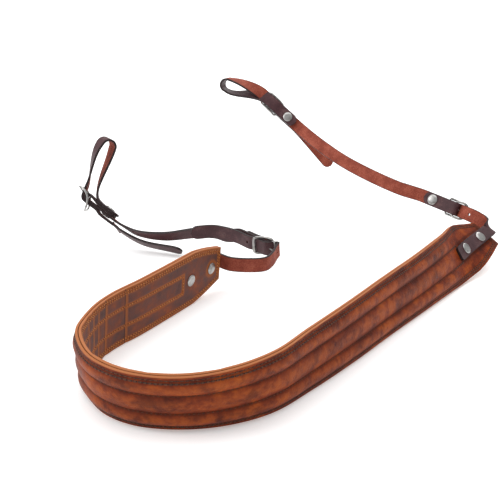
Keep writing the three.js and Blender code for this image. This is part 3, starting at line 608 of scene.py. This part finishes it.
class Seat:
    """A buckle's place: lengths run along the strap's body, heights towards its grain side."""

    def __init__(self, place, body, width, side, tilt=0):
        self.place = Vector(place)
        self.along = Vector(body).normalized()
        width = Vector(width)
        self.across = (width - self.along * width.dot(self.along)).normalized()
        self.grain = self.across.cross(self.along) * side
        self.side = side
        room = OVER_FOLD + WIRE / 2 + LAYER_GAP + STRAP_THICKNESS / 2 + BAR_EXTRA
        least = math.asin(room / math.hypot(FRAME_INNER, FRAME_BOW)) - math.atan2(FRAME_BOW, FRAME_INNER)
        self.angle = least + math.radians(tilt)
        bar = self.on_frame(FRAME_OUTER, FRAME_BOW) - self.place
        self.leave = math.asin(room / bar.length) - math.atan2(bar.dot(self.grain), -bar.dot(self.along))

    def at(self, length, height, aside=0):
        return self.place + self.along * length + self.grain * height + self.across * aside

    def on_frame(self, length, height, aside=0):
        c, s = math.cos(self.angle), math.sin(self.angle)
        return self.at(-length * c - height * s, -length * s + height * c, aside)

    def rows(self, *pairs):
        return [(self.at(length, height), self.across) for length, height in pairs]

    def folded_end(self):
        """A connector's end, from the flap's tip round the bar and out along the body."""
        flap = self.rows(
            (FLAP_LENGTH - STRAP_WIDTH / 2, 0), (12, 0),
            (9, -0.12 * FOLD), (6, -0.5 * FOLD), (3, -0.88 * FOLD),
        )
        fold = self.rows(*((-FOLD * math.cos(turn), FOLD * math.sin(turn)) for turn in HALF_TURN))
        return [*flap, *fold, *self.rows((4, FOLD), (SEAT_RIVET, FOLD), (SEAT_LENGTH, FOLD))]

    def through(self):
        """A strap that passes through the buckle, from where it leaves, over the bar and along the body."""
        over = FOLD + STRAP_THICKNESS + CAP_HEIGHT + 2 * LAYER_GAP
        tail = self.rows(
            (SEAT_LENGTH, over), (SEAT_RIVET - CAP_DIAMETER / 2, over),
            (FRAME_INNER + WIRE, OVER_FOLD), (FRAME_INNER / 2, OVER_FOLD),
        )
        turns = [self.leave * i / 5 for i in range(6)]
        arc = self.rows(*((-OVER_FOLD * math.sin(turn), OVER_FOLD * math.cos(turn)) for turn in turns))
        way = -self.along * math.cos(self.leave) - self.grain * math.sin(self.leave)
        out = [(arc[-1][0] + way * FRAME_OUTER * share, self.across) for share in (0.55, 1)]
        return [*tail, *arc, *out][::-1]

    def tail(self, through, rows, length, turn):
        """A loose tail past the body, turned about its own line towards its tip."""
        points = [self.at(along * length, grain * length, across * length) for along, grain, across in rows]
        steps = 5
        line = spline([through[-2][0], through[-1][0], *points], steps)[steps + 1:]
        stations = []
        for i, place in enumerate(line, 1):
            way = Matrix.Rotation(math.radians(turn) * i / len(line), 3, self.along)
            stations.append((place, way @ self.across))
        return stations


def eased_widths(start, end, count):
    return [start.lerp(end, i / count).normalized() for i in range(1, count)]


def bend(before, after, reach, steps):
    """A smooth bend from the end of one row of stations to the start of another."""
    start, end = before[-1][0], after[0][0]
    leave = start + (start - before[-2][0]).normalized() * reach[0]
    arrive = end - (after[1][0] - end).normalized() * reach[1]
    places = []
    for i in range(1, steps):
        t = i / steps
        places.append(
            start * (1 - t) ** 3 + leave * 3 * t * (1 - t) ** 2 + arrive * 3 * t**2 * (1 - t) + end * t**3
        )
    return list(zip(places, eased_widths(before[-1][1], after[0][1], steps)))


def bend_through(before, after, rows, reach):
    """A bend through points given from its start as shares of its reach."""
    inner = [before[-1][0] + Vector(row) * reach for row in rows]
    steps = 4
    line = spline([before[-2][0], before[-1][0], *inner, after[0][0], after[1][0]], steps)
    line = line[steps + 1:-steps - 1]
    return list(zip(line, eased_widths(before[-1][1], after[0][1], len(line) + 1)))


def hang(before, after, rows):
    """The free stretch between two rows: points along, left of and above the straight line."""
    start, end = before[-1], after[0]
    line = end[0] - start[0]
    aside = UP.cross(line).normalized()
    inner = [
        start[0] + line * along + (aside * left + UP * above) * line.length
        for along, left, above, *_ in rows
    ]
    steps = 6
    places = spline([before[-2][0], start[0], *inner, end[0], after[1][0]], steps)[steps + 1:-steps - 1]
    known = [(0, start[1]), *((row[0], Vector(row[3])) for row in rows if len(row) > 3), (1, end[1])]
    stations = []
    for place in places:
        share = min(max((place - start[0]).dot(line) / line.length_squared, 0), 1)
        k = max(i for i, (along, _) in enumerate(known[:-1]) if along <= share)
        ease = (share - known[k][0]) / (known[k + 1][0] - known[k][0])
        stations.append((place, known[k][1].lerp(known[k + 1][1], ease).normalized()))
    return stations


def lug_arc(place, width, radius, leave, arrive):
    """Half a turn round the lug."""
    across = Vector(width).normalized()
    top = (leave + arrive) * -0.5
    top = (top - across * top.dot(across)).normalized()
    aside = across.cross(top)
    aside *= math.copysign(1, aside.dot(arrive - leave))
    places = [place + (aside * math.sin(turn) + top * math.cos(turn)) * radius for turn in HALF_TURN]
    return [(place, across) for place in places]


def strap_route(stations):
    """A smooth route through a strap's stations, with room for a round tip at each end."""
    radius = STRAP_WIDTH / 2
    steps = 5
    places = [station[0] for station in stations]
    places.insert(0, places[0] + (places[0] - places[1]).normalized() * radius)
    places.append(places[-1] + (places[-1] - places[-2]).normalized() * radius)
    widths = [stations[0][1], *(station[1] for station in stations), stations[-1][1]]
    dense = []
    for a, b in zip(widths, widths[1:]):
        dense += [a.lerp(b, step / steps) for step in range(steps)]
    return Route(spline(places, steps), [*dense, widths[-1]])


def bridle_leather():
    material, shader, flat = finish_of("bridle_leather")
    border = flat.stored("border")
    height = flat.part(2)
    clouds = flat.noise(0.12, 4.0)
    fine = flat.noise(1.1, 5.0, 0.65)
    grain_side = height.rise(-0.1, 0.1)
    grain_tint = (clouds * 0.6 + fine * 0.45).ramp((0.3, "#2a1417"), (0.55, "#422529"), (0.75, "#5f4543"))
    flesh_tint = (clouds * 0.5 + fine * 0.55).ramp((0.3, "#5c251b"), (0.5, "#803827"), (0.72, "#a65a46"))
    faces = flat.blend(grain_side, flesh_tint, grain_tint)
    paint = border.fall(0.12, 0.42)
    edged = flat.blend(paint, faces, colour("#231516"))
    cells = flat.cells(2.2)
    nap = flat.stretched(1, 2.2, 1).noise(2.4, 5.0, 0.7)
    relief = cells * 0.35 * grain_side + nap * (1 - grain_side * 0.6)
    bump = relief.bump(0.5, 0.00035)
    rough = 0.74 - grain_side * 0.3 + fine * 0.12 - paint * 0.12
    drive(shader, Base_Color=edged, Roughness=rough, Normal=bump, Specular_IOR_Level=0.32)
    return material


def strap(stations, turn, name, node, corner=STRAP_WIDTH / 2, holes=()):
    """A flat blank with round tips and punched holes, given its thickness and laid on its route."""
    route = strap_route(stations)
    half = STRAP_WIDTH / 2

    def half_at(length):
        into, radius = min((length, corner), (route.length - length, half))
        inset = max(radius - into, 0)
        return half - radius + math.sqrt(max(radius * radius - inset * inset, 0.04))

    bm = bmesh.new()
    bmesh.ops.create_grid(
        bm, x_segments=round(route.length / STRAP_STEP), y_segments=8, size=0.5,
        matrix=Matrix.Diagonal((route.length, 2, 1, 1)),
    )
    for vert in bm.verts:
        length = vert.co.x + route.length / 2
        vert.co = Vector((length, vert.co.y * half_at(length), STRAP_THICKNESS / 2))
    for start, distance in holes:
        gaps = [(place - start).length for place in route.places]
        middle = Vector((route.lengths[gaps.index(min(gaps))] + distance, 0, STRAP_THICKNESS / 2))
        inside = [vert for vert in bm.verts if (vert.co - middle).length < HOLE_DIAMETER / 2]
        bmesh.ops.delete(bm, geom=inside, context="VERTS")
        for vert in bm.verts:
            away = vert.co - middle
            if vert.is_boundary and away.length < HOLE_DIAMETER and abs(vert.co.y) < half * 0.7:
                vert.co = middle + away.normalized() * HOLE_DIAMETER / 2
    wall_to(bm, -STRAP_THICKNESS / 2, STRAP_RIM)
    mark(bm, half_at, route.length)
    lay(bm, route, turn)
    keep(bm, name, bridle, node)


# Each side: where its buckles sit from its pad end and its lug, how the connector hangs between them, and
# how the two loose tails run, as shares of the tail's length along the body, to the grain and across.
SIDES = {
    "left": {
        "inward": 1,
        "pad_end": 0,
        "pad_seat": {"place": (33, 27, 0.5), "body": (-0.62, 0.785, 0), "width": (0, -0.1, 1), "side": 1},
        "lug_seat": {
            "place": (-12.3, -16, -33.3), "body": (0.79, -0.226, -0.567), "width": (0.15, -0.95, 0.26),
            "side": -1, "tilt": 27,
        },
        "lug": (0, 0, 0),
        "lug_width": (0.55, -0.83, 0),
        "lug_radius": 5.5,
        "lug_rise": 7,
        "lug_reach": (9, 14),
        "tab_reach": 43,
        "tab_bend": (
            (0.2, -0.12, -0.02), (0.5, -0.15, -0.03), (0.73, -0.1, -0.03),
            (0.84, 0.08, -0.02), (0.9, 0.3, -0.01),
        ),
        "connector": (
            (0.13, -0.04, -0.03), (0.22, -0.05, -0.02), (0.36, -0.003, -0.020, (0, -0.45, 0.9)),
            (0.56, 0.095, -0.032, (0, -0.6, 0.8)), (0.77, 0.113, -0.024),
        ),
        "tab_tail": ((0.74, 0.245, 0.04), (0.84, 0.42, 0.05)),
        "tab_tail_length": 57,
        "lug_tail": ((0.398, 0.063, 0.071), (0.642, 0.025, 0.139), (0.935, -0.113, 0.239)),
        "lug_tail_length": 80,
        "lug_tail_turn": -22,
    },
    "right": {
        "inward": -1,
        "pad_end": pad.length,
        "pad_seat": {
            "place": (-16, 28, 8.8), "body": (-0.78, 0.6, 0.17), "width": (0.37, 0.23, 0.9), "side": -1,
        },
        "lug_seat": {
            "place": (122.5, 102, 8.5), "body": (0.73, -0.35, -0.59), "width": (0.68, 0.27, 0.68),
            "side": 1,
        },
        "lug": (86.5, 108, 22.5),
        "lug_width": (0.35, 0.9, -0.1),
        "lug_radius": 4.8,
        "lug_rise": -4,
        "lug_reach": (14, 12),
        "tab_reach": 16,
        "tab_bend": ((0, 0.25, 0.05), (-0.2, 0.55, 0.17), (-0.5, 0.8, 0.3)),
        "connector": ((0.12, 0.052, 0), (0.49, 0.060, -0.019), (0.76, 0.035, -0.016)),
        "tab_tail": ((0.9, 0.13, -0.02),),
        "tab_tail_length": 50,
        "lug_tail": ((0.93, 0.175, -0.05),),
        "lug_tail_length": 70,
        "lug_tail_turn": 0,
    },
}

bridle = bridle_leather()
seats = {}
for name, side in SIDES.items():
    inward = side["inward"]
    end_place, end_along, end_width, _ = pad.at(side["pad_end"])
    place = end_place + Vector(side["pad_seat"]["place"])
    near = Seat(place, side["pad_seat"]["body"], side["pad_seat"]["width"], side["pad_seat"]["side"])
    far = Seat(**side["lug_seat"])
    seats[name] = near, far

    depth = COVER_FACE + TAB_GAP + STRAP_THICKNESS / 2
    on_pad = []
    for i in range(7):
        inside = (TAB_OVERLAP - STRAP_WIDTH / 2) * (1 - i / 6)
        place, _, width, out = pad.at(abs(side["pad_end"] - inside))
        on_pad.append((place + out * depth, width))
    on_pad.append((on_pad[-1][0] - end_along * inward * 3, end_width))
    through = near.through()
    tab = [
        *on_pad,
        *bend_through(on_pad, through, side["tab_bend"], side["tab_reach"]),
        *through,
        *near.tail(through, side["tab_tail"], side["tab_tail_length"], 0),
    ]
    bar = near.at(0, OVER_FOLD)
    strap(
        tab, -inward, f"{name}_tab_strap", f"{name}_pad_tab", corner=TAB_CORNER,
        holes=[(bar, -HOLE_PITCH), (bar, HOLE_PITCH)],
    )

    near_end = near.folded_end()
    far_end = far.folded_end()[::-1]
    connector = [*near_end, *hang(near_end, far_end, side["connector"]), *far_end]
    strap(connector, -inward, f"{name}_connector", f"{name}_connector_strap")

    riveted = far.rows(*(
        (length, height) for length, height in (
            (FLAP_LENGTH - STRAP_WIDTH / 2 + 1, -LAYER), (SEAT_RIVET, -LAYER), (0.72 * SEAT_RIVET, -LAYER),
            (9, -LAYER - 0.2 * (OVER_FOLD - LAYER)), (5, -LAYER - 0.75 * (OVER_FOLD - LAYER)),
            (1, -OVER_FOLD), (-2, -OVER_FOLD),
        ) if length > side["lug_rise"]
    ))
    through = far.through()
    lug = Vector(side["lug"])
    leave = (far.at(0, -OVER_FOLD) - lug).normalized()
    arrive = (through[0][0] - lug).normalized()
    loop = lug_arc(lug, side["lug_width"], side["lug_radius"], leave, arrive)
    lug_strap = [
        *riveted,
        *bend(riveted, loop, side["lug_reach"], 10),
        *loop,
        *bend(loop, through, (10, 8), 8),
        *through,
        *far.tail(through, side["lug_tail"], side["lug_tail_length"], side["lug_tail_turn"]),
    ]
    strap(
        lug_strap, inward, f"{name}_lug_loop", f"{name}_lug_strap",
        holes=[(far.at(0, OVER_FOLD), 2 * HOLE_PITCH)],
    )

# Rivets
# Double-cap rivets of nickel-plated brass: two domed caps pressed together over a shaft through the
# leather. Two hold each tab on the pad, and one closes each folded end of a connector.
RIVET_SHAFT = 2.4
RIVET_PITCH = 22.5


def nickel_plate():
    material, shader, place = finish_of("nickel_plate", "object")
    haze = place.noise(220.0, 4.0)
    scratches = place.stretched(1, 6, 2).noise(900.0, 5.0, 0.7)
    tint = place.blend(haze.rise(0.4, 0.75), colour("#a9a8a6"), colour("#7d7a76"))
    bump = scratches.bump(0.12, 0.0001)
    drive(shader, Base_Color=tint, Metallic=1.0, Roughness=0.2 + haze * 0.25, Normal=bump)
    return material


def turned(profile, place, axis):
    """A round piece spun from its profile of radius and height."""
    steps = 36
    bm = bmesh.new()
    verts = [bm.verts.new((radius, 0, height)) for radius, height in profile]
    edges = [bm.edges.new(pair) for pair in zip(verts, verts[1:])]
    bmesh.ops.spin(
        bm, geom=verts + edges, cent=(0, 0, 0), axis=(0, 0, 1), angle=math.tau, steps=steps, use_merge=True
    )
    bmesh.ops.remove_doubles(bm, verts=bm.verts[:], dist=0.001)
    bmesh.ops.recalc_face_normals(bm, faces=bm.faces[:])
    pose = Matrix.Translation(place) @ axis.to_track_quat("Z", "Y").to_matrix().to_4x4()
    bmesh.ops.transform(bm, matrix=Matrix.Scale(METRES, 4) @ pose, verts=bm.verts[:])
    return bm


def rivet(place, axis, low, high, name, node):
    """A rivet that clamps the leather between two depths."""
    radius = CAP_DIAMETER / 2
    dome = [
        (1, 0.05), (0.99, 0.25), (0.95, 0.42), (0.86, 0.62), (0.7, 0.82), (0.45, 0.95), (0.2, 0.99), (0, 1),
    ]
    upper = [(r * radius, high + LAYER_GAP + h * CAP_HEIGHT) for r, h in dome]
    lower = [(r * radius, low - LAYER_GAP - h * CAP_HEIGHT) for r, h in dome][::-1]
    shaft = [
        (radius * 0.96, low - LAYER_GAP), (RIVET_SHAFT / 2, low - LAYER_GAP),
        (RIVET_SHAFT / 2, high + LAYER_GAP), (radius * 0.96, high + LAYER_GAP),
    ]
    keep(turned([*lower, *shaft, *upper], place, axis), name, plate, node)


plate = nickel_plate()
for name, side in SIDES.items():
    near, far = seats[name]
    for i in (1, 2):
        inside = RIVET_FROM_END + RIVET_PITCH * (i - 1)
        place, _, _, out = pad.at(abs(side["pad_end"] - inside))
        outer = COVER_FACE + TAB_GAP + STRAP_THICKNESS
        rivet(place, out, -LINING_FACE, outer, f"{name}_pad_rivet_cap_{i}", f"{name}_pad_rivet_{i}")
    top = FOLD + STRAP_THICKNESS / 2
    for seat, low, label in (
        (near, -STRAP_THICKNESS / 2, "pad_buckle_rivet"),
        (far, -LAYER - STRAP_THICKNESS / 2, "lug_buckle_rivet"),
    ):
        rivet(seat.at(SEAT_RIVET, 0), seat.grain, low, top, f"{name}_{label}_cap", f"{name}_{label}")

# Buckles
# Small centre-bar buckles of nickel-plated wire: a bowed frame with round corners and a bar across it, and
# a prong of thinner wire that turns on the bar and rests on the frame's outer end.
FRAME_CORNER = 2.2
PRONG = 1.1
QUARTER_TURN = Matrix.Rotation(math.pi / 2, 4, "Y")


def buckle_frame(seat, name, node):
    """The frame, a round wire drawn along four runs and four corners, and its centre bar."""
    half = STRAP_WIDTH / 2 + LAYER_GAP + WIRE / 2
    bm = bmesh.new()
    start = Matrix.Translation((FRAME_CORNER - FRAME_INNER, half, 0)) @ QUARTER_TURN
    ring = bmesh.ops.create_circle(bm, cap_ends=False, segments=14, radius=WIRE / 2, matrix=start)
    edges = list({edge for vert in ring["verts"] for edge in vert.link_edges})
    long = FRAME_INNER + FRAME_OUTER - 2 * FRAME_CORNER
    short = 2 * (half - FRAME_CORNER)
    outer, inner, aside = FRAME_OUTER - FRAME_CORNER, FRAME_CORNER - FRAME_INNER, half - FRAME_CORNER
    corners = ((outer, aside), (outer, -aside), (inner, -aside), (inner, aside))
    runs = (Vector((long, 0, 0)), Vector((0, -short, 0)), Vector((-long, 0, 0)), Vector((0, short, 0)))
    for run, corner in zip(runs, corners):
        steps = 16 if run.y == 0 else 6
        for _ in range(steps):
            made = bmesh.ops.extrude_edge_only(bm, edges=edges)["geom"]
            edges = [item for item in made if isinstance(item, bmesh.types.BMEdge) and item.is_boundary]
            moved = list({vert for edge in edges for vert in edge.verts})
            bmesh.ops.translate(bm, verts=moved, vec=run / steps)
        made = bmesh.ops.spin(
            bm, geom=edges + list({vert for edge in edges for vert in edge.verts}), cent=(*corner, 0),
            axis=(0, 0, 1), angle=-math.pi / 2, steps=6, use_merge=False,
        )["geom_last"]
        edges = [item for item in made if isinstance(item, bmesh.types.BMEdge)]
    bmesh.ops.remove_doubles(bm, verts=bm.verts[:], dist=0.01)
    for vert in bm.verts:
        reach = FRAME_OUTER if vert.co.x > 0 else FRAME_INNER
        vert.co.z += FRAME_BOW * (vert.co.x / reach) ** 2
    bmesh.ops.create_cone(
        bm, cap_ends=True, segments=14, radius1=WIRE / 2, radius2=WIRE / 2, depth=2 * half,
        matrix=Matrix.Rotation(math.pi / 2, 4, "X"),
    )
    settle(bm, seat)
    keep(bm, name, plate, node)


def settle(bm, seat):
    """Places a buckle piece made flat (length to the outer end, aside, height) on its seat."""
    for vert in bm.verts:
        vert.co = seat.on_frame(vert.co.x, vert.co.z, vert.co.y)
    bm.normal_update()
    bmesh.ops.recalc_face_normals(bm, faces=bm.faces[:])
    bmesh.ops.scale(bm, vec=(METRES, METRES, METRES), verts=bm.verts[:])


def buckle_prong(seat, name, node):
    """A ring of wire round the bar and a pin from it over the frame's outer end."""
    ring = WIRE / 2 + LAYER_GAP + PRONG / 2
    bm = bmesh.new()
    wire = bmesh.ops.create_circle(
        bm, cap_ends=False, segments=10, radius=PRONG / 2,
        matrix=Matrix.Translation((0, 0, ring)) @ QUARTER_TURN,
    )["verts"]
    geom = wire + list({edge for vert in wire for edge in vert.link_edges})
    bmesh.ops.spin(
        bm, geom=geom, cent=(0, 0, 0), axis=(0, 1, 0), angle=math.tau, steps=28, use_merge=True
    )
    bmesh.ops.remove_doubles(bm, verts=bm.verts[:], dist=0.001)
    reach = FRAME_OUTER + WIRE
    rise = (FRAME_BOW + 0.15 * ring) * reach / FRAME_OUTER
    length = math.hypot(reach, rise)
    pin = bmesh.ops.create_cone(
        bm, cap_ends=False, segments=10, radius1=PRONG / 2, radius2=PRONG / 2, depth=length,
        matrix=Matrix.Translation((reach / 2, 0, ring + rise / 2))
        @ Vector((reach, 0, rise)).to_track_quat("Z", "Y").to_matrix().to_4x4(),
    )["verts"]
    tip = max(vert.co.x for vert in pin)
    rims = [edge for edge in {edge for vert in pin for edge in vert.link_edges} if edge.is_boundary]
    for end in (True, False):
        loop = [edge for edge in rims if (edge.verts[0].co.x > tip / 2) == end]
        cap = bmesh.ops.contextual_create(bm, geom=loop)["faces"]
        bmesh.ops.inset_region(bm, faces=cap, thickness=PRONG * 0.2, depth=PRONG * 0.2)
    settle(bm, seat)
    keep(bm, name, plate, node)


for name in SIDES:
    for seat, label in zip(seats[name], ("pad", "lug")):
        buckle_frame(seat, f"{name}_{label}_buckle_wire", f"{name}_{label}_buckle_frame")
        buckle_prong(seat, f"{name}_{label}_buckle_pin", f"{name}_{label}_buckle_prong")

# Floor, light and camera
# A white lit table under the pad's lower edge, a large soft light above, two small ones from the side and
# behind, and an even white surround.
FLOOR_SIZE = 6
EYE = Vector((104.5, -665, 250 - LUG_HEIGHT))
PITCH = 21.7
SENSOR = 36
FOCAL = 944 * SENSOR / 500
FLOOR_GAP = 0.3

sweep = bmesh.new()
bmesh.ops.create_grid(
    sweep, x_segments=1, y_segments=1, size=FLOOR_SIZE / 2,
    matrix=Matrix.Translation((0.1, 0, -(LUG_HEIGHT + FLOOR_GAP) * METRES)),
)
floor_mesh = bpy.data.meshes.new("floor")
sweep.to_mesh(floor_mesh)
sweep.free()
floor = bpy.data.objects.new("floor", floor_mesh)
bpy.context.scene.collection.objects.link(floor)
white, shader, _ = finish_of("white_sweep", "object")
drive(
    shader, Base_Color=(0.93, 0.93, 0.93, 1), Roughness=0.9, Specular_IOR_Level=0.1,
    Emission_Color=(1, 1, 1, 1), Emission_Strength=0.22,
)
floor_mesh.materials.append(white)

for label, place, size, power, aim in (
    ("top_light", (0.1, 0.1, 1.6), 2.2, 26, (0.1, 0.0, -0.05)),
    ("side_light", (-0.9, -0.3, 0.6), 0.6, 5, (0.05, -0.1, -0.05)),
    ("back_light", (0.6, 1.0, 0.7), 0.7, 5, (0.1, -0.1, -0.05)),
):
    lamp = bpy.data.lights.new(label, "AREA")
    lamp.energy = power
    lamp.size = size
    light = bpy.data.objects.new(label, lamp)
    light.location = place
    light.rotation_euler = (Vector(aim) - Vector(place)).to_track_quat("-Z", "Y").to_euler()
    bpy.context.scene.collection.objects.link(light)

world = bpy.data.worlds.new("surround")
world.use_nodes = True
world.node_tree.nodes["Background"].inputs["Color"].default_value = (1, 1, 1, 1)
world.node_tree.nodes["Background"].inputs["Strength"].default_value = 0.62
bpy.context.scene.world = world
bpy.context.scene.view_settings.view_transform = "Standard"

lens = bpy.data.cameras.new("camera")
lens.lens = FOCAL
lens.sensor_width = SENSOR
lens.clip_start = 0.01
camera = bpy.data.objects.new("camera", lens)
camera.location = EYE * METRES
camera.rotation_euler = (math.radians(90 - PITCH), 0, 0)
bpy.context.scene.collection.objects.link(camera)
bpy.context.scene.camera = camera
